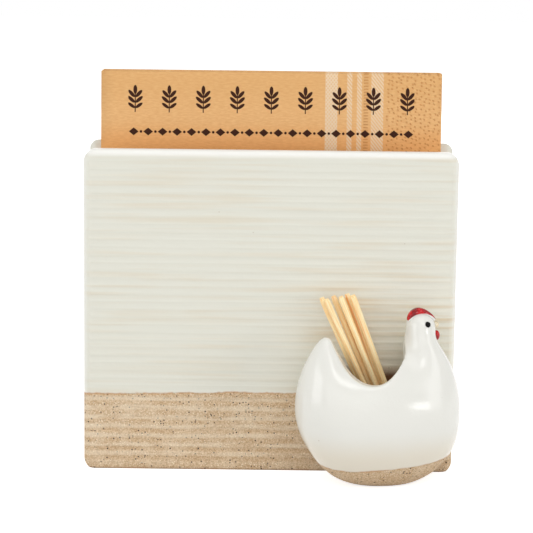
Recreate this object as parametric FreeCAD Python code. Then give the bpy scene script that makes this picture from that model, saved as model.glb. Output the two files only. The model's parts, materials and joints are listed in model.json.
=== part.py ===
import FreeCAD, Part
import math
import os

# Table holder for folded paper napkins, in slab-built stoneware, with a hen-shaped
# toothpick pocket luted to the lower right of its front panel.
# Millimetres. X runs to the right, Y from front to back, Z up. The origin is the middle of
# the front panel's ground foot: the holder rests on Z = 0.

# ---------------------------------------------------------------- driving dimensions

# Upright panels, front and back
panel_width = 138.0
panel_height = 120.5
panel_thickness = 6.0
front_corner_radius = 5.0      # upper corners of the front panel
back_corner_radius = 3.5       # upper corners of the back panel
foot_corner_radius = 5.0
rim_radius = 2.8               # rounding round every edge of a panel
foot_grind = 1.2               # what is ground off to make the foot flat

# Throwing ribs on the outer faces
band_height = 28.6             # bare clay band under the glaze
band_rib_pitch = 3.8
glaze_rib_pitch = 2.9
rib_groove_width = 2.4
band_groove_depth = 0.22
glaze_groove_depth = 0.10      # the glaze fills the grooves
rib_unevenness = 0.35          # the ribs are drawn by hand, so no two are alike
rib_foot_margin = 4.0
rib_rim_margin = 3.2

# Trough between the panels
slot_depth = 22.5              # clear distance between the panels
floor_height = 20.6            # top of the trough floor above the table
floor_thickness = 6.0
floor_end_inset = 4.0          # the trough stops short of the panels' side edges
end_wall_thickness = 8.0
vault_radius = 5.0             # rounding inside the hollow under the floor

# Hen pocket
hen_x = 40.0                   # middle of the hen along the front panel
hen_offset = 16.2              # middle plane of the hen in front of the front panel
hen_yaw_deg = 15.0             # the head turns towards the panel
fan_x = -1.5                   # axis that the hen's cross-sections fan out from
fan_z = 62.0
egg_factor = -0.06             # how much fuller a cross-section is towards the outside
head_angle_deg = 74.0          # middle of the head, seen from the fan axis
head_reach = 17.8
head_radius = 5.7
pocket_floor = 8.0
gap_x = 42.0                   # opening between the pocket and the panel, beside the neck
gap_radius = 10.5
gap_floor = 34.0

# Hen details
comb_thickness = 3.2
comb_rounding = 1.3
eye_radius = 1.15
eye_forward = 1.0              # from the middle of the head
eye_up = 2.7
eye_sink = 0.45                # how far the eye's middle lies under the head's surface
beak_forward = 5.2
beak_up = 1.7
beak_size = (1.9, 1.4, 1.3)    # half-axes along, across and up
wattle_forward = 6.2
wattle_up = -2.4
wattle_size = (1.3, 1.4, 1.9)

# Folded paper napkins
napkin_count = 6
napkin_side = 127.0
napkin_thickness = 1.6
napkin_fold_radius = 0.7
napkin_gap = 0.2               # air between two folded napkins
napkin_lean_deg = 5.0
napkin_rest_gap = 0.2          # above the trough floor
napkin_rim_gap = 0.3           # in front of the back panel's rim
napkin_shift = 0.3             # how far a napkin lies out of line to the side

# Toothpicks
pick_length = 65.0
pick_radius = 1.1
pick_end_radius = 0.8
pick_taper = 1.3
pick_rest_gap = 0.25           # above the pocket floor
# middle of the foot and of the upper end of each toothpick, as (x, front of the panel)
pick_lines = [
    (46.0, 11.7, 19.0, 6.8),
    (47.6, 14.3, 20.6, 9.4),
    (48.8, 11.7, 23.3, 6.6),
    (50.5, 14.1, 25.9, 9.2),
    (51.6, 11.6, 28.2, 6.7),
    (53.3, 14.2, 30.2, 9.3),
]

# Cross-sections of the hen, from the tip of its tail to its crown. Each lies in a plane
# through the fan axis: angle from straight down, radius of its inner and outer edge, half its
# depth.
hen_sections = [
    (-71.6, 19.6, 21.2, 0.9),
    (-70.3, 18.9, 22.3, 1.9),
    (-67.5, 18.4, 24.2, 3.2),
    (-63.0, 18.2, 27.2, 4.7),
    (-57.0, 18.1, 31.7, 6.7),
    (-49.0, 18.4, 38.2, 9.7),
    (-39.0, 17.8, 46.4, 13.0),
    (-27.0, 15.4, 53.8, 15.8),
    (-14.0, 12.2, 60.3, 17.6),
    (0.0, 11.0, 62.6, 18.2),
    (14.0, 11.4, 63.5, 18.0),
    (28.0, 13.6, 59.8, 16.6),
    (42.0, 14.9, 48.7, 13.1),
    (54.0, 14.1, 37.4, 9.7),
    (64.0, 13.1, 28.4, 7.3),
    (73.0, 12.4, 23.8, 6.1),
    (81.0, 12.3, 22.9, 5.7),
    (87.0, 12.9, 21.8, 4.7),
    (91.0, 13.7, 20.2, 3.5),
    (93.6, 14.9, 18.7, 2.1),
    (94.7, 15.8, 17.6, 1.1),
]

# Front view of the saddle between the tail and the neck (right of the hen's middle, up)
saddle_line = [
    (-19.5, 60.0),
    (-16.6, 52.6),
    (-14.6, 48.8),
    (-12.3, 45.2),
    (-9.3, 42.3),
    (-5.9, 40.6),
    (-2.3, 40.0),
    (1.6, 40.9),
    (4.6, 43.1),
    (7.0, 46.0),
    (8.7, 50.0),
    (9.5, 55.0),
    (9.6, 60.0),
]

# Level cross-sections of the pocket: height, middle (along, across), half-axes (along, across).
pocket_sections = [
    (pocket_floor, 9.0, 2.0, 9.5, 9.5),
    (14.0, 5.5, 4.0, 17.0, 15.5),
    (24.0, 2.0, 6.0, 20.5, 19.8),
    (33.0, -1.0, 6.0, 15.5, 19.0),
    (42.0, -0.8, 6.0, 12.4, 18.0),
    (52.0, -1.8, 6.0, 12.2, 17.6),
    (66.0, -2.5, 6.0, 12.0, 17.6),
]

# Top line of the comb, from the back of the head to the beak (forward of the head's middle, up)
comb_line = [(-5.1, 3.8), (-4.1, 6.7), (-1.9, 8.1), (2.0, 7.3), (5.6, 4.0)]

# ---------------------------------------------------------------- worked out from them

front_outer_y = -panel_thickness / 2
front_inner_y = panel_thickness / 2
back_inner_y = front_inner_y + slot_depth
back_outer_y = back_inner_y + panel_thickness
floor_length = panel_width - 2 * floor_end_inset
napkin_lean = math.radians(napkin_lean_deg)
head_x = fan_x + head_reach * math.sin(math.radians(head_angle_deg))
head_z = fan_z - head_reach * math.cos(math.radians(head_angle_deg))
beyond = 200.0                 # longer than any piece, for cutting tools


def vector(x, y, z):
    return FreeCAD.Vector(x, y, z)


def block(low, high):
    """A box between two opposite corners."""
    return Part.makeBox(high[0] - low[0], high[1] - low[1], high[2] - low[2], vector(*low))


def closed_curve(points):
    """A smooth closed curve through evenly counted points."""
    count = len(points)
    curve = Part.BSplineCurve()
    curve.interpolate(
        Points=[vector(*p) for p in points],
        Parameters=[i / count for i in range(count + 1)],
        PeriodicFlag=True,
    )
    return curve


def section_steps(sections):
    """Parameter of each section of a skinned form, in step with the distance between them."""
    steps = [0.0]
    for one, other in zip(sections, sections[1:]):
        gaps = [math.dist(p, q) for p, q in zip(one, other)]
        steps.append(steps[-1] + sum(gaps) / len(gaps))
    return [step / steps[-1] for step in steps]


def skinned_solid(sections):
    """Smooth solid through closed sections with as many points each, with flat ends."""
    rings = [closed_curve(points) for points in sections]
    steps = section_steps(sections)
    strands = []
    for poles in zip(*[ring.getPoles() for ring in rings]):
        strand = Part.BSplineCurve()
        strand.interpolate(Points=list(poles), Parameters=steps)
        strands.append(strand)
    surface = Part.BSplineSurface()
    surface.buildFromPolesMultsKnots(
        [list(row) for row in zip(*[strand.getPoles() for strand in strands])],
        strands[0].getMultiplicities(),
        rings[0].getMultiplicities(),
        strands[0].getKnots(),
        rings[0].getKnots(),
        False,
        True,
        strands[0].Degree,
        rings[0].Degree,
    )
    ends = [Part.Face(Part.Wire([ring.toShape()])) for ring in (rings[0], rings[-1])]
    shell = Part.makeShell([surface.toShape()] + ends)
    shell.sewShape()
    solid = Part.Solid(shell)
    if solid.Volume < 0:
        solid.reverse()
    return solid


# ---------------------------------------------------------------- panels and trough


def panel_outline(top_radius):
    """Upright rectangle with rounded corners, in the plane Y = 0, down to the foot grind."""
    half = panel_width / 2
    low = -foot_grind
    quarter = math.sqrt(0.5)
    corners = [
        (half, panel_height, top_radius, 1, 1),
        (-half, panel_height, top_radius, -1, 1),
        (-half, low, foot_corner_radius, -1, -1),
        (half, low, foot_corner_radius, 1, -1),
    ]
    arcs = []
    for x, z, radius, right, up in corners:
        centre_x = x - right * radius
        centre_z = z - up * radius
        ends = [vector(centre_x + right * radius, 0, centre_z), vector(centre_x, 0, centre_z + up * radius)]
        middle = vector(centre_x + right * radius * quarter, 0, centre_z + up * radius * quarter)
        if right * up < 0:
            ends.reverse()
        arcs.append((ends[0], middle, ends[1]))
    edges = []
    for index, (start, middle, end) in enumerate(arcs):
        edges.append(Part.Arc(start, middle, end).toShape())
        edges.append(Part.makeLine(end, arcs[(index + 1) % len(arcs)][0]))
    return Part.Wire(edges)


def rib_grooves(outer_y, outward):
    """Cutters for the shallow grooves between the throwing ribs, on the face at outer_y."""
    cutters = []
    height = rib_foot_margin
    number = 0
    while height < panel_height - rib_rim_margin:
        bare = height < band_height
        unevenness = 1 + rib_unevenness * math.sin(2.4 * number)
        depth = (band_groove_depth if bare else glaze_groove_depth) * unevenness
        radius = (rib_groove_width ** 2 / 4 + depth ** 2) / (2 * depth)
        middle_y = outer_y + outward * (radius - depth)
        start = vector(-beyond / 2, middle_y, height)
        cutters.append(Part.makeCylinder(radius, beyond, start, vector(1, 0, 0)))
        height += (band_rib_pitch if bare else glaze_rib_pitch) * (2 + unevenness) / 3
        number += 1
    return cutters


def panel(inner_y, outer_y, top_radius):
    """Upright slab with a rounded rim, ribs on its outer face and a flat ground foot."""
    low_y = min(inner_y, outer_y)
    outward = 1 if outer_y > inner_y else -1
    outline = panel_outline(top_radius)
    outline.translate(vector(0, low_y, 0))
    slab = Part.Face(outline).extrude(vector(0, panel_thickness, 0))
    rim = [e for e in slab.Edges if e.BoundBox.YLength < 0.001]
    slab = slab.makeFillet(rim_radius, rim)
    slab = slab.cut(block((-beyond, -beyond, -beyond), (beyond, beyond, 0)))
    return slab.cut(rib_grooves(outer_y, outward))


def trough_floor():
    """Bridge between the panels that lifts the napkins, hollow under its floor."""
    half = floor_length / 2
    bridge = block((-half, front_inner_y, 0), (half, back_inner_y, floor_height))
    hollow_half = half - end_wall_thickness
    hollow_top = floor_height - floor_thickness
    hollow = block((-hollow_half, front_inner_y - 1, -vault_radius), (hollow_half, back_inner_y + 1, hollow_top))
    upper = [
        e for e in hollow.Edges
        if abs(e.BoundBox.ZMin - hollow_top) < 0.001 and e.BoundBox.XLength < 0.001
    ]
    return bridge.cut(hollow.makeFillet(vault_radius, upper))


# ---------------------------------------------------------------- hen


def place_hen(shape):
    """Turns and moves a shape from the hen's own axes (along, across, up) to the holder's."""
    moved = shape.copy()
    moved.rotate(vector(0, 0, 0), vector(0, 0, 1), hen_yaw_deg)
    moved.translate(vector(hen_x, front_outer_y - hen_offset, 0))
    return moved


def hen_section(angle_deg, inner, outer, half_depth):
    """Points of an egg-shaped section in a plane through the fan axis, fuller outwards."""
    angle = math.radians(angle_deg)
    middle = (inner + outer) / 2
    half_height = (outer - inner) / 2
    points = []
    for step in range(12):
        turn = math.radians(30 * step)
        radius = middle + half_height * math.cos(turn)
        across = half_depth * math.sin(turn) * (1 + egg_factor * math.cos(turn))
        points.append((fan_x + radius * math.sin(angle), across, fan_z - radius * math.cos(angle)))
    return points


def egg_ball(half_axes, x, y, z):
    """Ellipsoid with the given half-axes."""
    matrix = FreeCAD.Matrix()
    matrix.scale(vector(*half_axes))
    shape = Part.makeSphere(1.0).transformGeometry(matrix)
    shape.translate(vector(x, y, z))
    return shape


def hen_form():
    """Closed outer form of the hen: a crescent from the tip of the tail to the crown."""
    return skinned_solid([hen_section(*row) for row in hen_sections])


def pocket_form():
    """Space inside the hen for the toothpicks, open above and towards the panel."""
    sections = []
    for height, along, across, half_along, half_across in pocket_sections:
        points = []
        for step in range(12):
            turn = math.radians(30 * step)
            points.append((along + half_along * math.cos(turn), across + half_across * math.sin(turn), height))
        sections.append(points)
    return skinned_solid(sections)


def saddle_form():
    """Space above the saddle, straight from the front to the panel."""
    front_y = front_outer_y - 3 * hen_offset
    curve = Part.BSplineCurve()
    curve.interpolate([vector(hen_x + right, front_y, up) for right, up in saddle_line])
    lid = Part.makeLine(curve.EndPoint, curve.StartPoint)
    outline = Part.Wire([curve.toShape(), lid])
    return Part.Face(outline).extrude(vector(0, 4 * hen_offset, 0))


def hen_body():
    """Hen with its saddle and pocket, cut flat where it meets the panel and the table."""
    hen = place_hen(hen_form().cut(pocket_form()))
    behind = block((-beyond, front_outer_y, -beyond), (beyond, beyond, beyond))
    below = block((-beyond, -beyond, -beyond), (beyond, beyond, 0))
    gap = Part.makeCylinder(gap_radius, beyond, vector(gap_x, front_outer_y, gap_floor))
    return hen.cut([saddle_form(), gap, behind, below])


def hen_comb():
    """Red comb: a rounded ridge over the top of the head."""
    curve = Part.BSplineCurve()
    curve.interpolate([vector(head_x + forward, -comb_thickness / 2, head_z + up) for forward, up in comb_line])
    start = curve.StartPoint
    end = curve.EndPoint
    inside = vector(head_x, -comb_thickness / 2, head_z)
    outline = Part.Wire([curve.toShape(), Part.makeLine(end, inside), Part.makeLine(inside, start)])
    ridge = Part.Face(outline).extrude(vector(0, comb_thickness, 0))
    top = [e for e in ridge.Edges if e.BoundBox.YLength < 0.001 and e.Length > head_radius * 1.5]
    return ridge.makeFillet(comb_rounding, top)


def hen_eyes(form):
    """A glossy bead on each side of the head, sunk into the form's surface."""
    x = head_x + eye_forward
    z = head_z + eye_up
    reach = 2 * head_radius
    across = Part.makeLine(vector(x, -reach, z), vector(x, reach, z)).common(form).BoundBox
    sunk = (across.YMin + eye_sink, across.YMax - eye_sink)
    return [Part.makeSphere(eye_radius, vector(x, y, z)).cut(form) for y in sunk]


# ---------------------------------------------------------------- napkins and toothpicks


def napkin(number):
    """Folded napkin, counted from the front; the stack leans on the back panel's rim."""
    rim_y = back_inner_y + rim_radius
    rim_z = panel_height - rim_radius
    stack_back = rim_y * math.cos(napkin_lean) - rim_z * math.sin(napkin_lean) - rim_radius - napkin_rim_gap
    behind_it = napkin_count - 1 - number
    back_face = stack_back - behind_it * (napkin_thickness + napkin_gap)
    foot_z = floor_height + napkin_rest_gap
    foot_y = (back_face + foot_z * math.sin(napkin_lean)) / math.cos(napkin_lean)
    half = napkin_side / 2
    sheet = block((-half, -napkin_thickness, 0), (half, 0, napkin_side))
    folds = [
        e for e in sheet.Edges
        if e.BoundBox.YLength < 0.001 and (e.BoundBox.XMin > half - 0.001 or e.BoundBox.ZMin > napkin_side - 0.001)
    ]
    sheet = sheet.makeFillet(napkin_fold_radius, folds)
    sheet.rotate(vector(0, 0, 0), vector(1, 0, 0), -napkin_lean_deg)
    sheet.translate(vector(napkin_shift * math.cos(2.4 * (number + 1)), foot_y, foot_z))
    return sheet


def toothpick(foot_x, foot_front, end_x, end_front):
    """Round toothpick with short blunt tapers, standing on the pocket floor."""
    foot_y = front_outer_y - foot_front
    end_y = front_outer_y - end_front
    run = math.hypot(end_x - foot_x, end_y - foot_y)
    rise = math.sqrt(pick_length ** 2 - run ** 2)
    lean_sine = run / pick_length
    foot_z = pocket_floor + pick_rest_gap + pick_end_radius * lean_sine
    straight = pick_length - 2 * pick_taper
    up = vector(0, 0, 1)
    lower = Part.makeCone(pick_end_radius, pick_radius, pick_taper)
    shaft = Part.makeCylinder(pick_radius, straight, vector(0, 0, pick_taper))
    upper = Part.makeCone(pick_radius, pick_end_radius, pick_taper, vector(0, 0, pick_taper + straight))
    stick = lower.fuse([shaft, upper])
    along = vector(end_x - foot_x, end_y - foot_y, rise)
    stick.Placement = FreeCAD.Placement(vector(foot_x, foot_y, foot_z), FreeCAD.Rotation(up, along))
    return stick


# ---------------------------------------------------------------- all pieces


def holder():
    """Every piece by its node's name."""
    form = hen_form()
    beak = egg_ball(beak_size, head_x + beak_forward, 0, head_z + beak_up)
    wattle = egg_ball(wattle_size, head_x + wattle_forward, 0, head_z + wattle_up)
    pieces = {
        "front_panel": panel(front_inner_y, front_outer_y, front_corner_radius),
        "back_panel": panel(back_inner_y, back_outer_y, back_corner_radius),
        "trough_floor": trough_floor(),
        "hen_body": hen_body(),
        "hen_comb": place_hen(hen_comb().cut(form)),
        "hen_beak": place_hen(beak.cut(form)),
        "hen_wattle": place_hen(wattle.cut(form)),
        "hen_eyes": Part.makeCompound([place_hen(bead) for bead in hen_eyes(form)]),
    }
    for number in range(napkin_count):
        pieces["napkin_%d" % (number + 1)] = napkin(number)
    for number, line in enumerate(pick_lines):
        pieces["toothpick_%d" % (number + 1)] = toothpick(*line)
    return pieces


os.makedirs("parts", exist_ok=True)
for name, shape in holder().items():
    shape.exportStep("parts/%s.step" % name)
    print(name, "solids", len(shape.Solids), "volume", round(shape.Volume, 1), "valid", shape.isValid())
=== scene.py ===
"""Visual model of a stoneware holder for paper napkins, with a hen-shaped toothpick pocket.

The panels, the trough, the toothpicks and the hen's comb, beak, wattle and eyes keep their
solids and are dressed with finishes of their own. The hen's body is remade with a soft rolled
lip, and each napkin is remade as one sheet of paper folded in four.
"""

import json
import logging
import math
from dataclasses import dataclass
from enum import Enum
from typing import Dict, List, Mapping, Optional, Sequence, Tuple, Union

import bpy
from mathutils import Matrix, Vector, noise


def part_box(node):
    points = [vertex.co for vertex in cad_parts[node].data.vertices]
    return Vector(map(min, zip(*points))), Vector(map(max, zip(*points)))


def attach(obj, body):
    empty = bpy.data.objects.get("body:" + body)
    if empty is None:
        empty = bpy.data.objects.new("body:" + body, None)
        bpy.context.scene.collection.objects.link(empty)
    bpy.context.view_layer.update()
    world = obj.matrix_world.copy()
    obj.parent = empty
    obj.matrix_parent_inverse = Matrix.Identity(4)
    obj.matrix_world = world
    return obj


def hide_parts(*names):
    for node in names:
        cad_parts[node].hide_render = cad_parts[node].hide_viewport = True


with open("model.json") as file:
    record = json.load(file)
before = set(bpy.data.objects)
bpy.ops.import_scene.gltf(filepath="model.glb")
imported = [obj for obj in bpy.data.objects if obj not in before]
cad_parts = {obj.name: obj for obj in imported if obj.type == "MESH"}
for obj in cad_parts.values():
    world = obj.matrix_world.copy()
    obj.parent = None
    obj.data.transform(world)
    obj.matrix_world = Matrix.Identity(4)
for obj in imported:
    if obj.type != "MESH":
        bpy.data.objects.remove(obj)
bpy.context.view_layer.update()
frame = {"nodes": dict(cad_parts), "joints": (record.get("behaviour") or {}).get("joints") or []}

MM = 0.001
Colour = Tuple[float, float, float, float]
Triple = Tuple[float, float, float]
Span = Tuple[float, float]
Thing = bpy.types.Object
Material = bpy.types.Material
Wire = bpy.types.NodeSocket
Place = Tuple[Wire, ...]
Feed = Union[float, Sequence[float], Wire]
WHITE: Colour = (1.0, 1.0, 1.0, 1.0)
log = logging.getLogger("napkin_holder")


def shade(red: int, green: int, blue: int) -> Colour:
    """Colour of a paint chip.

    Args:
        red, green, blue: The chip's values from 0 to 255, as a screen shows them.

    Returns:
        The same colour in linear light, with full alpha.
    """
    linear = []
    for value in (red, green, blue):
        share = value / 255
        linear.append(share / 12.92 if share <= 0.04045 else ((share + 0.055) / 1.055) ** 2.4)
    return (linear[0], linear[1], linear[2], 1.0)


# ---- shader nodes


class Wiring:
    """Adds shader nodes to one tree and joins them."""

    spacing: int = 190
    columns: int = 12
    noise_rough: float = 0.55
    speck_edge: float = 0.02

    def __init__(self, tree: bpy.types.NodeTree) -> None:
        """Takes the tree that the nodes go in."""
        self.tree = tree
        self.placed = 0

    def add(self, kind: str, feeds: Optional[Mapping] = None, **settings: object) -> bpy.types.Node:
        """Adds one node.

        Args:
            kind: Blender's name of the node.
            feeds: What each input socket gets, by its name or number.
            settings: The node's own options.

        Returns:
            The node.
        """
        node = self.tree.nodes.new(kind)
        row, column = divmod(self.placed, self.columns)
        node.location = (self.spacing * column, -self.spacing * row)
        self.placed += 1
        for name, value in settings.items():
            setattr(node, name, value)
        for name, feed in (feeds or {}).items():
            self.feed(node.inputs[name], feed)
        return node

    def feed(self, socket: Wire, feed: Feed) -> None:
        """Links a socket to another one, or sets its value.

        Args:
            socket: The input socket.
            feed: The other socket, or the value.
        """
        if isinstance(feed, Wire):
            self.tree.links.new(feed, socket)
        else:
            socket.default_value = feed

    def math(self, operation: str, *terms: Feed) -> Wire:
        """Result of one sum with up to three terms."""
        return self.add("ShaderNodeMath", dict(enumerate(terms)), operation=operation).outputs[0]

    def times(self, product: Feed, *factors: Feed) -> Wire:
        """Product of two or more numbers."""
        for factor in factors:
            product = self.math("MULTIPLY", product, factor)
        return product

    def minus(self, first: Feed, second: Feed) -> Wire:
        """Difference of two numbers."""
        return self.math("SUBTRACT", first, second)

    def rest(self, share: Feed) -> Wire:
        """What a share leaves of 1."""
        return self.minus(1.0, share)

    def larger(self, first: Feed, second: Feed) -> Wire:
        """The larger of two numbers."""
        return self.math("MAXIMUM", first, second)

    def scaled(self, value: Feed, factor: Feed, offset: Feed) -> Wire:
        """A number times a factor, plus an offset."""
        return self.math("MULTIPLY_ADD", value, factor, offset)

    def squares(self, first: Feed, second: Feed) -> Wire:
        """Sum of the squares of two numbers."""
        return self.math("ADD", self.times(first, first), self.times(second, second))

    def vector(self, operation: str, first: Feed, second: Feed) -> Wire:
        """Result of one vector sum."""
        node = self.add("ShaderNodeVectorMath", {0: first, 1: second}, operation=operation)
        return node.outputs["Vector"]

    def dot(self, first: Feed, second: Feed) -> Wire:
        """Dot product of two vectors."""
        node = self.add("ShaderNodeVectorMath", {0: first, 1: second}, operation="DOT_PRODUCT")
        return node.outputs["Value"]

    def oval(self, place: Feed, taken: Mapping[str, Feed]) -> Wire:
        """Squared distance from the middle of an oval, which is 1 at the oval's edge.

        Args:
            place: The point.
            taken: The oval's Centre, and its half axes Along and Across, as ways over lengths.

        Returns:
            The squared distance.
        """
        offset = self.vector("SUBTRACT", place, taken["Centre"])
        return self.squares(self.dot(offset, taken["Along"]), self.dot(offset, taken["Across"]))

    def blend(self, share: Feed, first: Feed, second: Feed) -> Wire:
        """Mixture of two colours, from first at a share of 0 to second at 1."""
        feeds = {0: share, 6: first, 7: second}
        return self.add("ShaderNodeMix", feeds, data_type="RGBA").outputs[2]

    def between(self, share: Feed, first: Feed, second: Feed) -> Wire:
        """Mixture of two numbers, from first at a share of 0 to second at 1."""
        feeds = {0: share, 2: first, 3: second}
        return self.add("ShaderNodeMix", feeds, data_type="FLOAT").outputs[0]

    def step(self, value: Feed, low: Feed, high: Feed) -> Wire:
        """Smooth step from 0, where value is low, to 1, where it is high."""
        feeds = {"Value": value, "From Min": low, "From Max": high}
        return self.add("ShaderNodeMapRange", feeds, interpolation_type="SMOOTHSTEP").outputs[0]

    def noise(self, place: Feed, scale: float, detail: float = 2.0) -> Wire:
        """Noise from 0 to 1."""
        feeds = {"Vector": place, "Scale": scale, "Detail": detail, "Roughness": self.noise_rough}
        return self.add("ShaderNodeTexNoise", feeds).outputs[0]

    def cells(self, place: Feed, scale: float) -> bpy.types.NodeOutputs:
        """Voronoi cells, for scattered grains."""
        return self.add("ShaderNodeTexVoronoi", {"Vector": place, "Scale": scale}).outputs

    def specks(self, place: Feed, scale: float, reach: Span, rare: float) -> Wire:
        """Round specks in some of the cells of a scatter.

        Args:
            place: The point, in millimetres.
            scale: How many cells there are to the millimetre.
            reach: Radius of the least speck, and how much larger the largest one is, in cells.
            rare: Share of the cells that stay empty.

        Returns:
            1 in a speck, and 0 outside.
        """
        cells = self.cells(place, scale)
        pick, size, _ = self.axes(cells["Color"])
        radius = self.scaled(size, reach[1], reach[0])
        inside = self.math("LESS_THAN", cells["Distance"], radius)
        return self.times(inside, self.step(pick, rare, rare + self.speck_edge))

    def axes(self, place: Feed) -> Place:
        """The three numbers of a vector."""
        return tuple(self.add("ShaderNodeSeparateXYZ", {0: place}).outputs)

    def stack(self, x: Feed, y: Feed, z: Feed) -> Wire:
        """A vector of three numbers."""
        return self.add("ShaderNodeCombineXYZ", {0: x, 1: y, 2: z}).outputs[0]

    def millimetres(self) -> Wire:
        """Place on the piece in its own axes, in millimetres."""
        place = self.add("ShaderNodeTexCoord").outputs["Object"]
        return self.vector("MULTIPLY", place, (1 / MM,) * 3)

    def group(self, effect: str, feeds: Mapping[str, Feed]) -> bpy.types.NodeOutputs:
        """Places a shared effect.

        Args:
            effect: The name of the effect.
            feeds: What each of its inputs gets.

        Returns:
            Its outputs.
        """
        node = self.add("ShaderNodeGroup", node_tree=bpy.data.node_groups[effect])
        for name, feed in feeds.items():
            self.feed(node.inputs[name], feed)
        return node.outputs


def fresh_wiring(owner: Union[Material, bpy.types.World]) -> Wiring:
    """Wiring of a material's or a world's emptied node tree."""
    owner.use_nodes = True
    owner.node_tree.nodes.clear()
    return Wiring(owner.node_tree)


class Socket(Enum):
    """Kinds of socket that a shared effect has."""

    NUMBER = "NodeSocketFloat"
    COLOUR = "NodeSocketColor"
    VECTOR = "NodeSocketVector"


Sockets = Mapping[Socket, str]
Ribs = Optional[Mapping[str, Wire]]


class Effect:
    """A shader node group that several finishes, or several places of one, share."""

    def __init__(self, name: str, inputs: Sockets, outputs: Sockets) -> None:
        """Makes the empty group.

        Args:
            name: The group's name.
            inputs, outputs: The names of its sockets, for each kind of socket.
        """
        tree = bpy.data.node_groups.new(name, "ShaderNodeTree")
        for way, sockets in (("INPUT", inputs), ("OUTPUT", outputs)):
            for kind, names in sockets.items():
                for label in names.split():
                    tree.interface.new_socket(name=label, in_out=way, socket_type=kind.value)
        self.wiring = Wiring(tree)
        self.taken = self.wiring.add("NodeGroupInput").outputs
        self.given = self.wiring.add("NodeGroupOutput").inputs

    def give(self, **feeds: Feed) -> None:
        """Links the group's outputs."""
        for label, feed in feeds.items():
            self.wiring.feed(self.given[label], feed)


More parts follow.
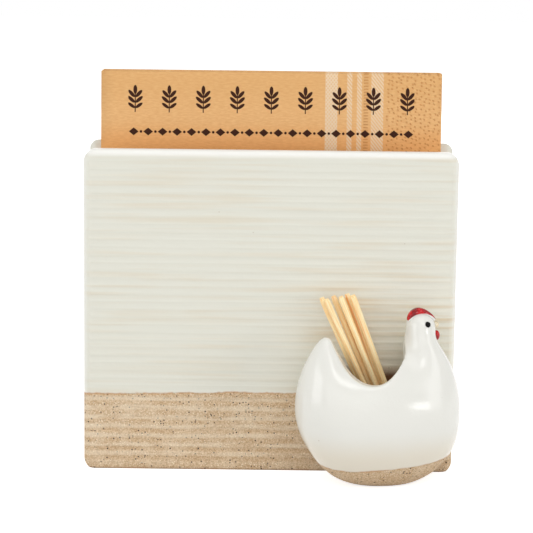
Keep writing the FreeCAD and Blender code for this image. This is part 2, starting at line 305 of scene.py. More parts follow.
class Effects:
    """The shared effects. All their sizes are in millimetres."""

    def __init__(self) -> None:
        """Builds every effect once."""
        self.bare_clay()
        self.throwing_ribs()
        self.glaze_line()
        self.glaze_cover()
        self.wood_grain()
        self.leaf_mark()
        self.pocket_shade()
        self.twill_stripe()

    @staticmethod
    def bare_clay() -> None:
        """Sandy unglazed stoneware with pale grog and dark iron specks."""
        outputs = {Socket.COLOUR: "Colour", Socket.NUMBER: "Height"}
        effect = Effect("bare_clay", {Socket.COLOUR: "Clay Pale Dark Speck"}, outputs)
        w, taken = effect.wiring, effect.taken
        place = w.millimetres()
        sand_scale, cloud_scale, grog_scale = 1.9, 0.16, 1.35
        speck_scale, fleck_scale = 0.85, 1.9
        grog_share, cloud_share, speck_share, fleck_share = 0.8, 0.2, 0.95, 0.7
        grog_height, sand_height = 0.03, 0.10
        sand = w.noise(place, sand_scale, 3.0)
        tone = w.blend(w.step(sand, 0.38, 0.60), taken["Dark"], taken["Clay"])
        cells = w.cells(place, grog_scale)
        picked = w.step(w.axes(cells["Color"])[1], 0.50, 0.60)
        grog = w.times(w.rest(w.step(cells["Distance"], 0.16, 0.40)), picked)
        tone = w.blend(w.times(grog, grog_share), tone, taken["Pale"])
        cloud = w.step(w.noise(place, cloud_scale, 2.0), 0.42, 0.72)
        tone = w.blend(w.times(cloud, cloud_share), tone, taken["Pale"])
        speck = w.times(w.specks(place, speck_scale, (0.17, 0.13), 0.70), speck_share)
        fleck = w.times(w.specks(place, fleck_scale, (0.24, 0.0), 0.82), fleck_share)
        colour = w.blend(w.larger(speck, fleck), tone, taken["Speck"])
        height = w.scaled(grog, grog_height, w.times(sand, sand_height))
        effect.give(Colour=colour, Height=height)

    @staticmethod
    def throwing_ribs() -> None:
        """Uneven level ribs, as a finger leaves them in the clay."""
        outputs = {Socket.NUMBER: "Height Ridge"}
        effect = Effect("throwing_ribs", {Socket.NUMBER: "Pitch Length"}, outputs)
        w, taken = effect.wiring, effect.taken
        fine_length, fine_pitch, fine_share = 1.7, 2.6, 0.3
        x, y, z = w.axes(w.millimetres())
        along = w.math("DIVIDE", x, taken["Length"])
        deep = w.math("DIVIDE", y, taken["Length"])
        up = w.math("DIVIDE", z, taken["Pitch"])
        coarse = w.noise(w.stack(along, deep, up), 1.0, 1.0)
        fine_place = w.stack(w.times(along, fine_length), deep, w.times(up, fine_pitch))
        height = w.between(fine_share, coarse, w.noise(fine_place, 1.0, 1.0))
        effect.give(Height=height, Ridge=w.step(height, 0.45, 0.70))

    @staticmethod
    def glaze_line() -> None:
        """Wavering line that the piece was dipped to, toasted along its edge here and there."""
        inputs = {Socket.NUMBER: "Height Waver", Socket.VECTOR: "Slope"}
        effect = Effect("glaze_line", inputs, {Socket.NUMBER: "Glazed Edge"})
        w, taken = effect.wiring, effect.taken
        wave_scale, ragged_scale, toast_scale, ragged_share = 0.055, 0.6, 0.12, 0.45
        edge_near, edge_far, softness = 0.1, 0.6, 0.12
        place = w.millimetres()
        wave = w.minus(w.noise(place, wave_scale, 1.0), 0.5)
        ragged = w.minus(w.noise(place, ragged_scale, 2.0), 0.5)
        sway = w.scaled(ragged, ragged_share, wave)
        line = w.scaled(sway, taken["Waver"], taken["Height"])
        line = w.math("ADD", line, w.dot(place, taken["Slope"]))
        above = w.minus(w.axes(place)[2], line)
        near = w.rest(w.step(w.math("ABSOLUTE", above), edge_near, edge_far))
        toasted = w.times(near, w.step(w.noise(place, toast_scale, 2.0), 0.35, 0.60))
        effect.give(Glazed=w.step(above, -softness, softness), Edge=toasted)

    @staticmethod
    def glaze_cover() -> None:
        """Opaque glaze that breaks to a warmer tone where it runs thin, with a few pinholes."""
        inputs = {Socket.COLOUR: "Glaze Thin", Socket.NUMBER: "Bareness"}
        outputs = {Socket.COLOUR: "Colour", Socket.NUMBER: "Height"}
        effect = Effect("glaze_cover", inputs, outputs)
        w, taken = effect.wiring, effect.taken
        cloud_scale, peel_scale, pin_scale = 0.035, 0.75, 0.16
        pinhole, pin_share, pin_depth, peel_height = shade(150, 118, 84), 0.35, 0.05, 0.035
        place = w.millimetres()
        cloud = w.step(w.noise(place, cloud_scale, 2.0), 0.22, 0.58)
        share = w.times(taken["Bareness"], cloud)
        tone = w.blend(share, taken["Glaze"], taken["Thin"])
        pins = w.specks(place, pin_scale, (0.035, 0.0), 0.80)
        colour = w.blend(w.times(pins, pin_share), tone, pinhole)
        peel = w.times(w.noise(place, peel_scale, 1.0), peel_height)
        effect.give(Colour=colour, Height=w.scaled(pins, -pin_depth, peel))

    @staticmethod
    def wood_grain() -> None:
        """Long fibres that run along an axis."""
        outputs = {Socket.NUMBER: "Fibre Streak"}
        effect = Effect("wood_grain", {Socket.VECTOR: "Axis"}, outputs)
        w, axis = effect.wiring, effect.taken["Axis"]
        drawn_out, fibre_scale, streak_scale = 0.97, 3.2, 0.9
        place = w.millimetres()
        drawn = w.times(w.dot(place, axis), drawn_out)
        back = w.vector("MULTIPLY", axis, w.stack(drawn, drawn, drawn))
        across = w.vector("SUBTRACT", place, back)
        fibre, streak = w.noise(across, fibre_scale, 3.0), w.noise(across, streak_scale, 2.0)
        effect.give(Fibre=fibre, Streak=streak)

    @staticmethod
    def leaf_mark() -> None:
        """One printed leaf, an oval at an angle."""
        inputs = {Socket.VECTOR: "Place Centre Along Across"}
        effect = Effect("leaf_mark", inputs, {Socket.NUMBER: "Mark"})
        w, taken = effect.wiring, effect.taken
        effect.give(Mark=w.rest(w.step(w.oval(taken["Place"], taken), 0.8, 1.2)))

    @staticmethod
    def pocket_shade() -> None:
        """Painted shade inside an upright oval between two heights: the pocket's shadow."""
        inputs = {Socket.VECTOR: "Centre Along Across", Socket.NUMBER: "Floor Top"}
        effect = Effect("pocket_shade", inputs, {Socket.NUMBER: "Inside"})
        w, taken = effect.wiring, effect.taken
        fade = 6.0
        place = w.millimetres()
        height = w.axes(place)[2]
        oval = w.rest(w.step(w.oval(place, taken), 0.86, 1.0))
        under = w.step(w.minus(taken["Top"], height), 0.0, fade)
        above = w.math("GREATER_THAN", height, taken["Floor"])
        effect.give(Inside=w.times(oval, under, above))

    @staticmethod
    def twill_stripe() -> None:
        """Upright stripe of fine diagonal threads, crossed by a second set where Cross is 1."""
        inputs = {Socket.VECTOR: "Place", Socket.NUMBER: "Left Right Cross"}
        effect = Effect("twill_stripe", inputs, {Socket.NUMBER: "Stripe Thread"})
        w, taken = effect.wiring, effect.taken
        slant, frequency, softness = 0.8, 5.3, 0.08
        x, _, z = w.axes(taken["Place"])
        left = w.step(w.minus(x, taken["Left"]), -softness, softness)
        right = w.step(w.minus(taken["Right"], x), -softness, softness)
        threads = []
        for turn in (slant, -slant):
            wave = w.math("SINE", w.times(w.scaled(z, turn, x), frequency))
            threads.append(w.scaled(wave, 0.5, 0.5))
        thread = w.between(taken["Cross"], threads[0], w.larger(*threads))
        effect.give(Stripe=w.times(left, right), Thread=thread)


# ---- finishes


class Finish:
    """A material under construction: its nodes, its one shader and its output."""

    def __init__(self, name: str, constants: Mapping[str, Feed]) -> None:
        """Makes the material with a Principled shader.

        Args:
            name: The material's name.
            constants: Values set on the shader's own sockets, the same all over.
        """
        self.material = bpy.data.materials.new(name)
        self.wiring = fresh_wiring(self.material)
        self.shader = self.wiring.add("ShaderNodeBsdfPrincipled", constants)
        self.wiring.add("ShaderNodeOutputMaterial", {"Surface": self.shader.outputs[0]})

    def give(self, colour: Feed, roughness: Feed, height: Feed) -> Material:
        """Feeds the shader.

        Args:
            colour: The base colour.
            roughness: The roughness.
            height: The relief's height in millimetres.

        Returns:
            The finished material.
        """
        relief = {"Strength": 1.0, "Distance": MM, "Height": height}
        normal = self.wiring.add("ShaderNodeBump", relief).outputs[0]
        for socket, feed in (("Base Color", colour), ("Roughness", roughness), ("Normal", normal)):
            self.wiring.feed(self.shader.inputs[socket], feed)
        return self.material


class Surface(Enum):
    """How the clay was worked before it was glazed."""

    RIBBED = "ribbed"
    SMOOTH = "smooth"


@dataclass(frozen=True)
class Stoneware:
    """Speckled stoneware, dipped in glaze down to a line near its foot. Sizes in millimetres."""

    name: str
    surface: Surface
    glaze: Colour
    thin: Colour
    line_height: float
    line_slope: Triple
    line_waver: float
    gloss: float
    pocket_reach: Span = (13.4, 18.8)
    pocket_centre: Triple = (37.5, -13.7, 0.0)
    pocket_turn: float = math.radians(15.0)
    pocket_floor: float = 7.5
    pocket_top: float = 42.4
    ior: float = 1.5
    clay: Colour = shade(215, 189, 155)
    clay_roughness: float = 0.85
    pale: Colour = shade(244, 230, 206)
    dark: Colour = shade(188, 156, 119)
    speck: Colour = shade(46, 28, 18)
    toasted: Colour = shade(198, 142, 86)
    toasted_share: float = 0.6
    # Painted shade colour, for the pocket's inside and the line along the foot.
    pocket_and_foot_shade: Colour = shade(112, 72, 42)
    foot: Span = (0.1, 0.8)
    foot_shade_share: float = 0.55
    glaze_build: float = 0.18
    throw_pitch: float = 2.6
    throw_length: float = 60.0
    throw_depth: float = 0.24
    band_pitch: float = 3.5
    band_sway: float = 2.0
    band_share: float = 0.45
    # Painted highlight colour for the front panel's rim and side edges.
    rim_highlight: Colour = shade(248, 247, 243)
    rim_height: Span = (117.4, 119.4)
    rim_side: Span = (67.2, 68.6)
    rim_depth: Span = (6.0, 2.0)
    rim_share: float = 0.75
    rim_side_share: float = 0.6
    # Painted light: lighter, warmer glaze at the front's lower right, against the hen's shade.
    light_tint: Colour = shade(234, 230, 214)
    warm_right: Span = (-5.0, 35.0)
    warm_low: Span = (88.0, 48.0)
    light_tint_share: float = 0.6
    thin_share: float = 0.28
    warm_thin_share: float = 0.62
    # Painted shade: the smooth glaze runs darker and warmer below this height.
    low_shade_height: float = 24.0
    low_shade_share: float = 0.55

    def material(self) -> Material:
        """Builds the material.

        Returns:
            The material.
        """
        finish = Finish(self.name, {"IOR": self.ior})
        w = finish.wiring
        place = w.axes(w.millimetres())
        line = {"Height": self.line_height, "Slope": self.line_slope, "Waver": self.line_waver}
        tide = w.group("glaze_line", line)
        # Painted shade: in the pocket the glaze is left off and the clay darkened, for its shadow.
        inside = self.pocket(w)
        glazed = w.times(tide["Glazed"], w.rest(inside))
        ribs = None
        if self.surface is Surface.RIBBED:
            throw = {"Pitch": self.throw_pitch, "Length": self.throw_length}
            ribs = w.group("throwing_ribs", throw)
        clay_tone, clay_height = self.bare(w, place, inside)
        glaze_tone, glaze_height = self.coat(w, place, ribs)
        tone = w.blend(glazed, clay_tone, glaze_tone)
        colour = w.blend(w.times(tide["Edge"], self.toasted_share), tone, self.toasted)
        height = w.between(glazed, clay_height, w.math("ADD", glaze_height, self.glaze_build))
        if ribs is not None:
            height = w.scaled(ribs["Height"], self.throw_depth, height)
        return finish.give(colour, w.between(glazed, self.clay_roughness, self.gloss), height)

    def bare(self, w: Wiring, place: Place, inside: Feed) -> Tuple[Wire, Wire]:
        """Bare clay, with pale ribs across it, and painted shade in the pocket and along the foot.

        Args:
            w: The wiring.
            place: The point.
            inside: 1 in the pocket and 0 elsewhere.

        Returns:
            The clay's colour and its height.
        """
        colours = {"Clay": self.clay, "Pale": self.pale, "Dark": self.dark, "Speck": self.speck}
        clay = w.group("bare_clay", colours)
        tone = clay["Colour"]
        if self.surface is Surface.RIBBED:
            tone = w.blend(self.band_ribs(w, place), tone, self.pale)
        # Painted shade: the pocket's inside is darkened brown.
        tone = w.blend(inside, tone, self.pocket_and_foot_shade)
        # Painted shade: a dark line along the foot, where it meets the table.
        foot = w.times(w.rest(w.step(place[2], *self.foot)), self.foot_shade_share)
        return w.blend(foot, tone, self.pocket_and_foot_shade), clay["Height"]

    def coat(self, w: Wiring, place: Place, ribs: Ribs) -> Tuple[Wire, Wire]:
        """The glaze, thin on the throwing ribs, or without ribs darker low down as painted shade.

        Args:
            w: The wiring.
            place: The point.
            ribs: The throwing ribs, if the clay has them.

        Returns:
            The glaze's colour and its height.
        """
        if ribs is None:
            # Painted shade: darker, warmer glaze towards the foot.
            low_shade = w.rest(w.step(place[2], self.line_height, self.low_shade_height))
            feeds = {"Glaze": self.glaze, "Bareness": w.times(low_shade, self.low_shade_share)}
        else:
            corner = self.glaze_break_and_light_corner(w, place)
            thin_share = w.scaled(corner, self.warm_thin_share, self.thin_share)
            # Painted light: the glaze there is lightened and warmed, against the shade near the
            # hen.
            glaze = w.blend(w.times(corner, self.light_tint_share), self.glaze, self.light_tint)
            feeds = {"Glaze": glaze, "Bareness": w.times(ribs["Ridge"], thin_share)}
        cover = w.group("glaze_cover", {**feeds, "Thin": self.thin})
        tone = cover["Colour"]
        if ribs is not None:
            # Painted highlight on the front panel's rim and side edges.
            tone = w.blend(self.painted_rim_highlight(w, place), tone, self.rim_highlight)
        return tone, cover["Height"]

    def glaze_break_and_light_corner(self, w: Wiring, place: Place) -> Wire:
        """1 at the lower right of the front face, with warm glaze breaks and painted light."""
        x, y, z = place
        low_right = w.times(w.step(x, *self.warm_right), w.step(z, *self.warm_low))
        return w.times(low_right, w.math("LESS_THAN", y, 0.0))

    def painted_rim_highlight(self, w: Wiring, place: Place) -> Wire:
        """Painted highlight on the top rim and side edges of the front panel.

        Args:
            w: The wiring.
            place: The point.

        Returns:
            The share of the highlight's colour.
        """
        x, y, z = place
        side = w.times(w.step(w.math("ABSOLUTE", x), *self.rim_side), self.rim_side_share)
        either = w.larger(side, w.step(z, *self.rim_height))
        return w.times(either, w.step(y, *self.rim_depth), self.rim_share)

    def band_ribs(self, w: Wiring, place: Place) -> Wire:
        """Pale ribs drawn across the bare clay in broken runs, fainter towards the foot.

        Args:
            w: The wiring.
            place: The point.

        Returns:
            The share of the pale colour.
        """
        x, _, z = place
        sway_length, sway_height = 42.0, 9.0
        run_length, run_height, run_depth = 16.0, 2.2, 3.0
        drawn = w.stack(w.math("DIVIDE", x, sway_length), 0.0, w.math("DIVIDE", z, sway_height))
        swayed = w.scaled(w.noise(drawn, 1.0, 2.0), self.band_sway, z)
        turns = w.times(w.math("DIVIDE", swayed, self.band_pitch), math.tau)
        wave = w.scaled(w.math("COSINE", turns), 0.5, 0.5)
        drawn = w.stack(w.math("DIVIDE", x, run_length), run_depth, w.math("DIVIDE", z, run_height))
        runs = w.step(w.noise(drawn, 1.0, 1.0), 0.22, 0.58)
        strength = w.times(w.step(z, 0.0, sway_height), self.band_share)
        return w.times(w.step(wave, 0.1, 1.0), runs, strength)

    def pocket(self, w: Wiring) -> Wire:
        """Where the piece lies inside the hen's pocket, which gets painted shade.

        Args:
            w: The wiring.

        Returns:
            1 inside the pocket and 0 outside.
        """
        sine, cosine = math.sin(self.pocket_turn), math.cos(self.pocket_turn)
        long_half, short_half = self.pocket_reach
        feeds = {
            "Centre": self.pocket_centre,
            "Along": (cosine / long_half, sine / long_half, 0.0),
            "Across": (-sine / short_half, cosine / short_half, 0.0),
            "Floor": self.pocket_floor,
            "Top": self.pocket_top,
        }
        return w.group("pocket_shade", feeds)["Inside"]


@dataclass(frozen=True)
class ColouredGlaze:
    """Glossy coloured glaze, put on with a brush over the white one. Sizes in millimetres."""

    name: str
    full: Colour
    thin: Colour
    gloss: float = 0.09
    ior: float = 1.5
    folds: float = 0.7
    sheen_level: float = 0.34
    clouded: float = 0.08
    cloud_scale: float = 0.45
    fold_scale: float = 0.55
    fold_stretch: Triple = (1.0, 0.5, 0.35)
    under: Colour = shade(230, 229, 222)
    brush_stop: Optional[Triple] = None
    brush_edge: float = 0.1

    def material(self) -> Material:
        """Builds the material.

        Returns:
            The material.
        """
        finish = Finish(self.name, {"IOR": self.ior, "Specular IOR Level": self.sheen_level})
        w = finish.wiring
        place = w.millimetres()
        cloud = w.noise(place, self.cloud_scale, 2.0)
        feeds = {"Glaze": self.full, "Thin": self.thin, "Bareness": w.step(cloud, 0.38, 0.62)}
        cover = w.group("glaze_cover", feeds)
        colour = cover["Colour"]
        if self.brush_stop:
            colour = w.blend(self.below_brush(w, place), colour, self.under)
        roughness = w.between(cloud, self.gloss, self.gloss + self.clouded)
        folds = w.noise(w.vector("MULTIPLY", place, self.fold_stretch), self.fold_scale, 1.0)
        return finish.give(colour, roughness, w.scaled(folds, self.folds, cover["Height"]))

    def below_brush(self, w: Wiring, place: Feed) -> Wire:
        """Where the white glaze shows, inside the circle that the brush stopped at.

        Args:
            w: The wiring.
            place: The point.

        Returns:
            1 inside the circle and 0 outside.
        """
        x, _, z = w.axes(place)
        middle_x, middle_z, reach = self.brush_stop
        away = w.math("SQRT", w.squares(w.minus(x, middle_x), w.minus(z, middle_z)))
        return w.step(away, reach + self.brush_edge, reach - self.brush_edge)


@dataclass(frozen=True)
class PickWood:
    """Pale birch toothpick with fibres along its length."""

    name: str
    axis: Triple
    tone: float
    ior: float = 1.45
    light: Colour = shade(255, 242, 198)
    dark: Colour = shade(255, 208, 140)
    ring: Colour = shade(238, 140, 68)
    ring_share: float = 0.42
    smooth: float = 0.5
    rough: float = 0.62
    fibre_height: float = 0.06

    def material(self) -> Material:
        """Builds the material.

        Returns:
            The material.
        """
        finish = Finish(self.name, {"IOR": self.ior})
        w = finish.wiring
        grain = w.group("wood_grain", {"Axis": self.axis})
        fibre = w.step(grain["Fibre"], 0.34, 0.66)
        streak = w.times(w.step(grain["Streak"], 0.54, 0.70), self.ring_share + self.tone)
        colour = w.blend(streak, w.blend(fibre, self.dark, self.light), self.ring)
        roughness = w.between(fibre, self.rough, self.smooth)
        return finish.give(colour, roughness, w.times(grain["Fibre"], self.fibre_height))


@dataclass(frozen=True)
class KraftPaper:
    """Folded kraft paper napkin with woven-look stripes, embossing and a printed leaf border.

    Sizes are in millimetres, heights from the napkin's foot and widths from its middle. A stripe
    has a left edge, a right edge, and 1 if its threads are crossed. A leaf has its height, its
    turn in degrees, half its length and width, and its distance from the stem.
    """

    name: str
    ior: float = 1.35
    sheen_level: float = 0.25
    paper: Colour = shade(235, 188, 131)
    # Painted shade: the napkin's top is toned darker, against the light from above.
    top_shade: Colour = shade(227, 180, 122)
    top_shade_rise: Span = (110.0, 124.0)
    # Painted shade: darker, oranger paper where the napkin sinks into the slot.
    low: Colour = shade(235, 174, 112)
    slot_shade_rise: Span = (84.0, 96.0)
    slot_shade_fall: Span = (110.0, 99.0)
    cream: Colour = shade(232, 207, 175)
    thread: Span = (0.22, 0.98)
    # Fibre colour, also on the dents: pressed paper, and painted shade in their hollows.
    pressed_and_shaded: Colour = shade(204, 138, 78)
    dent_shade_share: float = 0.6
    pressed_depth: float = 0.2
    pulp_stretch: Triple = (0.35, 1.0, 1.6)
    pulp_scale: float = 1.3
    pulp_share: float = 0.35
    pulp_height: float = 0.05
    roughness: Span = (0.82, 0.95)
    ink: Colour = shade(62, 36, 26)
    face_depth: Span = (1.25, 1.30)
    stripes: Tuple[Triple, ...] = (
        (20.1, 24.7, 1.0), (28.2, 30.1, 0.0), (31.9, 33.7, 0.0), (37.2, 41.8, 0.0),
    )
    dash_middle: float = 35.3
    dash_half: float = 0.85
    dash_pitch: float = 1.1
    dimple_from: Span = (42.6, 43.0)
    dimple_scale: float = 0.58
    dimple_unevenness: float = 0.55
    dimple_slant: float = 0.35
    leaf_rows: Span = (116.6, 93.0)
    leaf_pitch: float = 12.7
    border_half: float = 53.4
    stem_half: float = 0.2
    stem_middle: float = -0.6
    stem_reach: float = 4.2
    leaves: Tuple[Tuple[float, ...], ...] = (
        (3.6, 90.0, 1.7, 0.72, 0.0), (1.4, 48.0, 1.75, 0.66, 1.35),
        (-0.8, 42.0, 1.75, 0.66, 1.45), (-3.0, 36.0, 1.6, 0.6, 1.4),
    )
    leaf_lift: float = 0.5
    bead_row: float = 104.6
    bead_pitch: float = 5.4
    diamond_slimness: float = 0.8
    diamond_edge: Span = (1.35, 1.6)
    dot_edge: Span = (0.4, 0.6)

    def material(self) -> Material:
        """Builds the material.

        Returns:
            The material.
        """
        finish = Finish(self.name, {"IOR": self.ior, "Specular IOR Level": self.sheen_level})
        w = finish.wiring
        place = w.millimetres()
        x, y, z = w.axes(place)
        front = w.step(w.times(y, -1.0), *self.face_depth)
        pulp = w.noise(w.vector("MULTIPLY", place, self.pulp_stretch), self.pulp_scale, 3.0)
        # Painted shade where the napkin sinks into the slot.
        slot_shade = w.times(w.step(z, *self.slot_shade_fall), w.step(z, *self.slot_shade_rise))
        colour = w.blend(slot_shade, self.paper, self.low)
        # Painted shade on the napkin's top, against the light from above.
        colour = w.blend(w.step(z, *self.top_shade_rise), colour, self.top_shade)
        fibres = w.times(w.step(pulp, 0.72, 0.30), self.pulp_share)
        colour = w.blend(fibres, colour, self.pressed_and_shaded)
        for left, right, cross in self.stripes:
            feeds = {"Place": place, "Left": left, "Right": right, "Cross": cross}
            mark = w.group("twill_stripe", feeds)
            thread = w.between(mark["Thread"], *self.thread)
            colour = w.blend(w.times(mark["Stripe"], thread, front), colour, self.cream)
        dents = w.times(w.larger(self.dash_column(w, x, z), self.dimples(w, x, z)), front)
        # The dents are darker, partly as pressed paper and partly as painted shade.
        colour = w.blend(w.times(dents, self.dent_shade_share), colour, self.pressed_and_shaded)
        colour = w.blend(w.times(self.border(w, x, z), front), colour, self.ink)
        height = w.scaled(dents, -self.pressed_depth, w.times(pulp, self.pulp_height))
        return finish.give(colour, w.between(pulp, *self.roughness), height)

    def dash_column(self, w: Wiring, x: Feed, z: Feed) -> Wire:
        """Column of embossed dashes between the last two stripes."""
        wave = w.math("SINE", w.times(z, math.tau / self.dash_pitch))
        column = w.math("COMPARE", x, self.dash_middle, self.dash_half)
        return w.times(column, w.step(wave, 0.2, 0.8))

    def dimples(self, w: Wiring, x: Feed, z: Feed) -> Wire:
        """Pressed dimples right of the stripes, in uneven rows.

        Args:
            w: The wiring.
            x, z: The point across and up.

        Returns:
            1 in a dimple and 0 outside.
        """
        place = w.stack(x, w.scaled(x, self.dimple_slant, z), 0.0)
        feeds = {"Vector": place, "Scale": self.dimple_scale, "Randomness": self.dimple_unevenness}
        cells = w.add("ShaderNodeTexVoronoi", feeds, voronoi_dimensions="2D").outputs
        dot = w.rest(w.step(cells["Distance"], 0.12, 0.27))
        return w.times(dot, w.step(x, *self.dimple_from))

    def border(self, w: Wiring, x: Feed, z: Feed) -> Wire:
        """Printed border: two rows of leaf sprigs with a row of beads between them.

        Args:
            w: The wiring.
            x, z: The point across and up.

        Returns:
            1 where there is ink and 0 elsewhere.
        """
        marks = self.beads(w, x, z)
        for row in self.leaf_rows:
            marks = w.larger(marks, self.sprig(w, x, w.minus(z, row)))
        return w.times(marks, w.math("LESS_THAN", w.math("ABSOLUTE", x), self.border_half))

    def sprig(self, w: Wiring, x: Feed, up: Feed) -> Wire:
        """Row of upright sprigs, each a stem with three pairs of leaves and one at its tip.

        Args:
            w: The wiring.
            x, up: The point across, and up from the row's middle.

        Returns:
            1 in a sprig and 0 outside.
        """
        half = self.leaf_pitch / 2
        cell = w.minus(w.math("FLOORED_MODULO", w.math("ADD", x, half), self.leaf_pitch), half)
        side = w.math("ABSOLUTE", cell)
        place = w.stack(side, 0.0, up)
        upright = w.math("COMPARE", up, self.stem_middle, self.stem_reach)
        marks = w.times(w.math("LESS_THAN", side, self.stem_half), upright)
        for height, turn, long_half, short_half, out in self.leaves:
            sine, cosine = math.sin(math.radians(turn)), math.cos(math.radians(turn))
            feeds = {
                "Place": place,
                "Centre": (out, 0.0, height + out * self.leaf_lift),
                "Along": (cosine / long_half, 0.0, sine / long_half),
                "Across": (-sine / short_half, 0.0, cosine / short_half),
            }
            marks = w.larger(marks, w.group("leaf_mark", feeds)["Mark"])
        return marks

    def beads(self, w: Wiring, x: Feed, z: Feed) -> Wire:
        """Row of small diamonds with a dot between each two.

        Args:
            w: The wiring.
            x, z: The point across and up.

        Returns:
            1 in a diamond or dot and 0 outside.
        """
        half = self.bead_pitch / 2
        up = w.math("ABSOLUTE", w.minus(z, self.bead_row))
        cell = w.math("ABSOLUTE", w.minus(w.math("FLOORED_MODULO", x, self.bead_pitch), half))
        slanted = w.scaled(cell, self.diamond_slimness, up)
        diamond = w.rest(w.step(slanted, *self.diamond_edge))
        away = w.math("SQRT", w.squares(w.minus(half, cell), up))
        return w.larger(diamond, w.rest(w.step(away, *self.dot_edge)))


def dress(piece: Thing, material: Material) -> None:
    """Gives a piece one material all over.

    Args:
        piece: A CAD node's object or a new piece.
        material: The material.
    """
    if not piece.material_slots:
        piece.data.materials.append(material)
    for slot in piece.material_slots:
        slot.material = material


def show(name: str, data: bpy.types.ID) -> Thing:
    """Adds an object to the scene.

    Args:
        name: The object's name.
        data: Its mesh, lamp or camera.

    Returns:
        The object.
    """
    thing = bpy.data.objects.new(name, data)
    bpy.context.scene.collection.objects.link(thing)
    return thing


# ---- sub-assemblies


@dataclass
class HolderBody:
    """Two ribbed panels and the trough between them, in half-glazed stoneware."""

    nodes: Tuple[str, ...] = ("front_panel", "back_panel", "trough_floor")
    finish: Stoneware = Stoneware(
        name="ribbed_stoneware",
        surface=Surface.RIBBED,
        glaze=shade(223, 222, 210),
        thin=shade(214, 194, 160),
        line_height=29.8,
        line_slope=(0.0134, 0.0, 0.0),
        line_waver=1.8,
        gloss=0.32,
        pocket_reach=(17.5, 22.0),
    )

    def build(self) -> List[Thing]:
        """Dresses the panels and the trough.

        Returns:
            The pieces.
        """
        material = self.finish.material()
        pieces = [frame["nodes"][name] for name in self.nodes]
        for piece in pieces:
            dress(piece, material)
        return pieces


@dataclass
class HenPocket:
    """Hen with a hollow back, its comb, beak, wattle and eyes."""

    voxel: float = 0.5 * MM
    rounding: int = 14
    rounding_factor: float = 0.5
    panel_face: float = -3.0 * MM
    finish: Stoneware = Stoneware(
        name="hen_stoneware",
        surface=Surface.SMOOTH,
        glaze=shade(231, 230, 223),
        thin=shade(222, 209, 184),
        line_height=11.8,
        line_slope=(0.03, 0.14, 0.0),
        line_waver=1.0,
        gloss=0.15,
    )
    comb: ColouredGlaze = ColouredGlaze(
        "comb_red", shade(200, 3, 10), shade(122, 0, 4), brush_stop=(55.6, 56.9, 6.4)
    )
    wattle: ColouredGlaze = ColouredGlaze("wattle_red", shade(206, 10, 16), shade(150, 0, 6))
    beak: ColouredGlaze = ColouredGlaze("beak_cream", shade(240, 229, 203), shade(226, 208, 172))
    eyes: ColouredGlaze = ColouredGlaze(
        "eye_black", shade(3, 2, 2), shade(6, 4, 3), gloss=0.05, ior=1.25, folds=0.0
    )

    def build(self) -> List[Thing]:
        """Makes the hen's body and dresses all its pieces.

        Returns:
            The pieces.
        """
        pieces = [self.rolled_body()]
        dress(pieces[0], self.finish.material())
        for part in ("comb", "wattle", "beak", "eyes"):
            pieces.append(frame["nodes"]["hen_" + part])
            dress(pieces[-1], getattr(self, part).material())
        return pieces

    def rolled_body(self) -> Thing:
        """The hen's body with its lip and edges rolled soft, in place of its solid.

        Returns:
            The body. It stays in front of the panel's face and on the table.
        """
        draft = show("hen_draft", frame["nodes"]["hen_body"].data.copy())
        remesh = draft.modifiers.new("remesh", "REMESH")
        remesh.mode = "VOXEL"
        remesh.voxel_size = self.voxel
        smooth = draft.modifiers.new("roll", "SMOOTH")
        smooth.factor = self.rounding_factor
        smooth.iterations = self.rounding
        graph = bpy.context.evaluated_depsgraph_get()
        mesh = bpy.data.meshes.new_from_object(draft.evaluated_get(graph))
        bpy.data.objects.remove(draft)
        for vertex in mesh.vertices:
            vertex.co.y = min(vertex.co.y, self.panel_face)
            vertex.co.z = max(vertex.co.z, 0.0)
        mesh.polygons.foreach_set("use_smooth", [True] * len(mesh.polygons))
        body = show("hen_form", mesh)
        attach(body, "holder")
        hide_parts("hen_body")
        return body


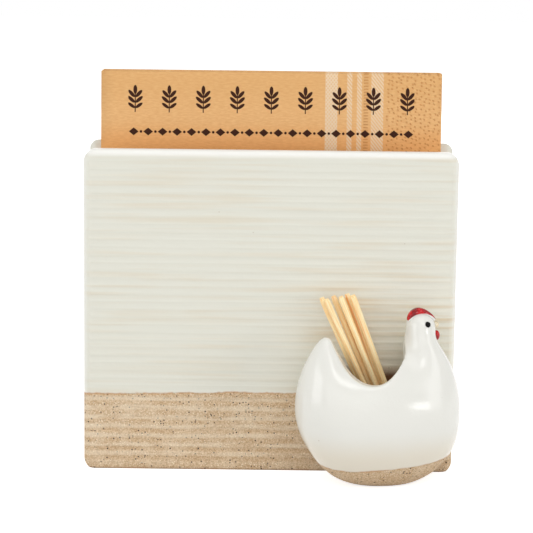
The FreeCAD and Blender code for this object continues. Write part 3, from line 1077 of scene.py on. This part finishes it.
@dataclass
class NapkinStack:
    """Six paper napkins, each one sheet folded in four."""

    count: int = 6
    side: float = 127 * MM
    thickness: float = 1.6 * MM
    lean: float = math.radians(5.0)
    ply: float = 0.28 * MM
    layer_pitch: float = 0.4 * MM
    straight_steps: int = 20
    turn_steps: int = 6
    waver: float = 0.06 * MM
    waver_scale: float = 22.0
    waver_shift: float = 7.3

    def build(self) -> List[Thing]:
        """Makes every napkin where its solid stands.

        Returns:
            The napkins, the front one first.
        """
        material = KraftPaper("kraft_paper").material()
        napkins = []
        for number in range(1, self.count + 1):
            napkin = self.folded_sheet(number)
            dress(napkin, material)
            self.place(napkin, "napkin_%d" % number)
            napkins.append(napkin)
        return napkins

    def stops(self, straight: float, turn: float) -> List[float]:
        """Distances along the sheet across one fold.

        Args:
            straight: Length of the flat run on each side of the fold.
            turn: Length of the fold's half turn.

        Returns:
            The distances, close together only over the fold.
        """
        runs = [straight * i / self.straight_steps for i in range(self.straight_steps + 1)]
        fold = [straight + turn * i / self.turn_steps for i in range(self.turn_steps)]
        return runs[:-1] + fold + [straight + turn + distance for distance in runs]

    @staticmethod
    def bend(distance: float, straight: float, turn: float, radius: float) -> Tuple[float, float]:
        """Follows a strip that runs straight, turns back in a half circle and returns.

        Args:
            distance: Distance along the strip.
            straight: Length of the straight run before the turn.
            turn: Distance that the turn takes.
            radius: Radius of the half circle.

        Returns:
            How far along the run the point is, and how far to the side, from -radius to radius.
        """
        if distance <= straight:
            return distance, -radius
        if distance >= straight + turn:
            return straight - (distance - straight - turn), radius
        angle = math.pi * (distance - straight) / turn
        return straight + radius * math.sin(angle), -radius * math.cos(angle)

    def folded_sheet(self, number: int) -> Thing:
        """One sheet folded down from the top and then across from the right.

        Args:
            number: The napkin's number, 1 in front.

        Returns:
            The sheet, standing upright with its foot at the origin.
        """
        pitch, scale = self.layer_pitch, self.waver_scale
        top_run = self.side - pitch / 2 - self.ply / 2
        top_turn = math.pi * pitch / 2
        side_run = self.side - 1.5 * pitch - self.ply / 2
        side_turn = math.pi * pitch
        across = self.stops(side_run, side_turn)
        upward = self.stops(top_run, top_turn)
        vertices = []
        for u in across:
            for v in upward:
                height, depth = self.bend(v, top_run, top_turn, pitch / 2)
                along, sideways = self.bend(u, side_run, side_turn, pitch - depth)
                spot = Vector((along * scale, height * scale, number * self.waver_shift))
                y = sideways - self.thickness / 2 + noise.noise(spot) * self.waver
                vertices.append((along - self.side / 2, y, height))
        rows = len(upward)
        faces = []
        for i in range(len(across) - 1):
            for j in range(rows - 1):
                corner = i * rows + j
                faces.append((corner, corner + rows, corner + rows + 1, corner + 1))
        mesh = bpy.data.meshes.new("napkin_sheet_%d" % number)
        mesh.from_pydata(vertices, [], faces)
        mesh.polygons.foreach_set("use_smooth", [True] * len(mesh.polygons))
        napkin = show("napkin_sheet_%d" % number, mesh)
        body = napkin.modifiers.new("ply", "SOLIDIFY")
        body.thickness = self.ply
        body.offset = 0.0
        return napkin

    def place(self, napkin: Thing, node: str) -> None:
        """Stands a napkin where its solid is and gives it the solid's body.

        Args:
            napkin: The sheet.
            node: Name of the solid and of its body.
        """
        low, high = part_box(node)
        foot_y = low.y + self.thickness * math.cos(self.lean)
        foot = Matrix.Translation(((low.x + high.x) / 2, foot_y, low.z))
        napkin.matrix_world = foot @ Matrix.Rotation(-self.lean, 4, "X")
        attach(napkin, node)
        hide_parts(node)


@dataclass
class ToothpickBundle:
    """Toothpicks that stand in the hen's pocket."""

    tones: Tuple[float, ...] = (0.20, 0.05, 0.28, 0.0, 0.16, 0.08)

    def build(self) -> List[Thing]:
        """Dresses each toothpick with fibres along its own axis.

        Returns:
            The toothpicks.
        """
        axes = {joint["child"]: joint["axis"] for joint in frame["joints"]}
        picks = []
        for number, tone in enumerate(self.tones, 1):
            name = "toothpick_%d" % number
            wood = PickWood("birch_%d" % number, tuple(axes[name]), tone)
            picks.append(frame["nodes"][name])
            dress(picks[-1], wood.material())
        return picks


# ---- studio


@dataclass(frozen=True)
class SoftBox:
    """A rectangular studio lamp. Sizes in metres."""

    name: str
    place: Triple
    width: float
    height: float
    watts: float
    aim: Triple = (0.0, 0.0, 0.06)

    def hang(self) -> Thing:
        """Adds the lamp to the scene.

        Returns:
            The lamp.
        """
        data = bpy.data.lights.new(self.name, "AREA")
        data.shape = "RECTANGLE"
        data.size = self.width
        data.size_y = self.height
        data.energy = self.watts
        lamp = show(self.name, data)
        lamp.location = self.place
        way = Vector(self.aim) - Vector(self.place)
        lamp.rotation_euler = way.to_track_quat("-Z", "Y").to_euler()
        return lamp


@dataclass
class Studio:
    """White table and backdrop, soft lamps and the camera."""

    ambient: float = 0.50
    floor_glow: float = 0.72
    floor_colour: Colour = (0.82, 0.82, 0.82, 1.0)
    floor_half: float = 3.0
    boxes: Tuple[SoftBox, ...] = (
        SoftBox("front_box", (0.0, -1.25, 0.42), 1.40, 0.70, 2.2),
        SoftBox("key_box", (0.30, -0.71, 0.93), 0.30, 0.26, 0.95),
        SoftBox("low_box", (0.82, -0.67, 0.13), 0.30, 0.15, 0.95, (0.0, 0.0, 0.05)),
        SoftBox("left_box", (-1.00, -0.60, 0.35), 0.65, 0.90, 4.3),
        SoftBox("right_box", (1.05, -0.40, 0.40), 0.45, 0.85, 2.2),
        SoftBox("top_box", (0.0, -0.15, 1.10), 0.90, 0.70, 1.7),
        SoftBox("back_box", (0.0, 1.25, 0.45), 1.40, 0.80, 3.6),
    )
    camera_place: Triple = (-1.319 * MM, -764.73 * MM, 210.87 * MM)
    camera_pitch: float = math.radians(9.92)
    camera_roll: float = math.radians(0.679)
    camera_lens: float = 141.57
    camera_sensor: float = 36.0
    camera_near: float = 0.01

    def build(self) -> List[Thing]:
        """Sets up the floor, the world, the lamps and the camera.

        Returns:
            The lamps.
        """
        self.lay_floor()
        self.hang_backdrop()
        lamps = [box.hang() for box in self.boxes]
        self.set_camera()
        bpy.context.scene.view_settings.view_transform = "Standard"
        return lamps

    @staticmethod
    def seen_share(w: Wiring) -> Wire:
        """1 for rays that show the background: straight, mirrored or through glass."""
        path = w.add("ShaderNodeLightPath").outputs
        mirrored = w.larger(path["Is Glossy Ray"], path["Is Transmission Ray"])
        return w.larger(path["Is Camera Ray"], mirrored)

    def lay_floor(self) -> None:
        """White table top that keeps the holder's shadow."""
        half = self.floor_half
        corners = [(-half, -half, 0), (half, -half, 0), (half, half, 0), (-half, half, 0)]
        mesh = bpy.data.meshes.new("table_top")
        mesh.from_pydata(corners, [], [(0, 1, 2, 3)])
        floor = show("table_top", mesh)
        material = bpy.data.materials.new("white_table")
        w = fresh_wiring(material)
        matte = w.add("ShaderNodeBsdfDiffuse", {"Color": self.floor_colour})
        strength = w.times(self.seen_share(w), self.floor_glow)
        glow = w.add("ShaderNodeEmission", {"Color": WHITE, "Strength": strength})
        both = w.add("ShaderNodeAddShader", {0: matte.outputs[0], 1: glow.outputs[0]})
        w.add("ShaderNodeOutputMaterial", {"Surface": both.outputs[0]})
        mesh.materials.append(material)

    def hang_backdrop(self) -> None:
        """White surroundings, with a softer level for the light that they give."""
        world = bpy.data.worlds.new("white_room")
        bpy.context.scene.world = world
        w = fresh_wiring(world)
        level = w.between(self.seen_share(w), self.ambient, 1.0)
        sky = w.add("ShaderNodeBackground", {"Color": WHITE, "Strength": level})
        w.add("ShaderNodeOutputWorld", {"Surface": sky.outputs[0]})

    def set_camera(self) -> None:
        """Camera a little above the holder, square to its front."""
        data = bpy.data.cameras.new("camera")
        data.lens = self.camera_lens
        data.sensor_width = self.camera_sensor
        data.clip_start = self.camera_near
        camera = show("camera", data)
        tilt = Matrix.Rotation(math.pi / 2 - self.camera_pitch, 4, "X")
        roll = Matrix.Rotation(self.camera_roll, 4, "Z")
        camera.matrix_world = Matrix.Translation(self.camera_place) @ tilt @ roll
        bpy.context.scene.camera = camera


def main() -> None:
    """Builds the holder, what it holds and the studio, in order, and reports each piece."""
    logging.basicConfig(level=logging.INFO, format="%(message)s")
    Effects()
    for assembly in (HolderBody(), HenPocket(), NapkinStack(), ToothpickBundle()):
        for piece in assembly.build():
            log.info("%s: %s", piece.name, piece.material_slots[0].material.name)
    for lamp in Studio().build():
        log.info("%s: %.2f W", lamp.name, lamp.data.energy)


if __name__ == "__main__":
    main()
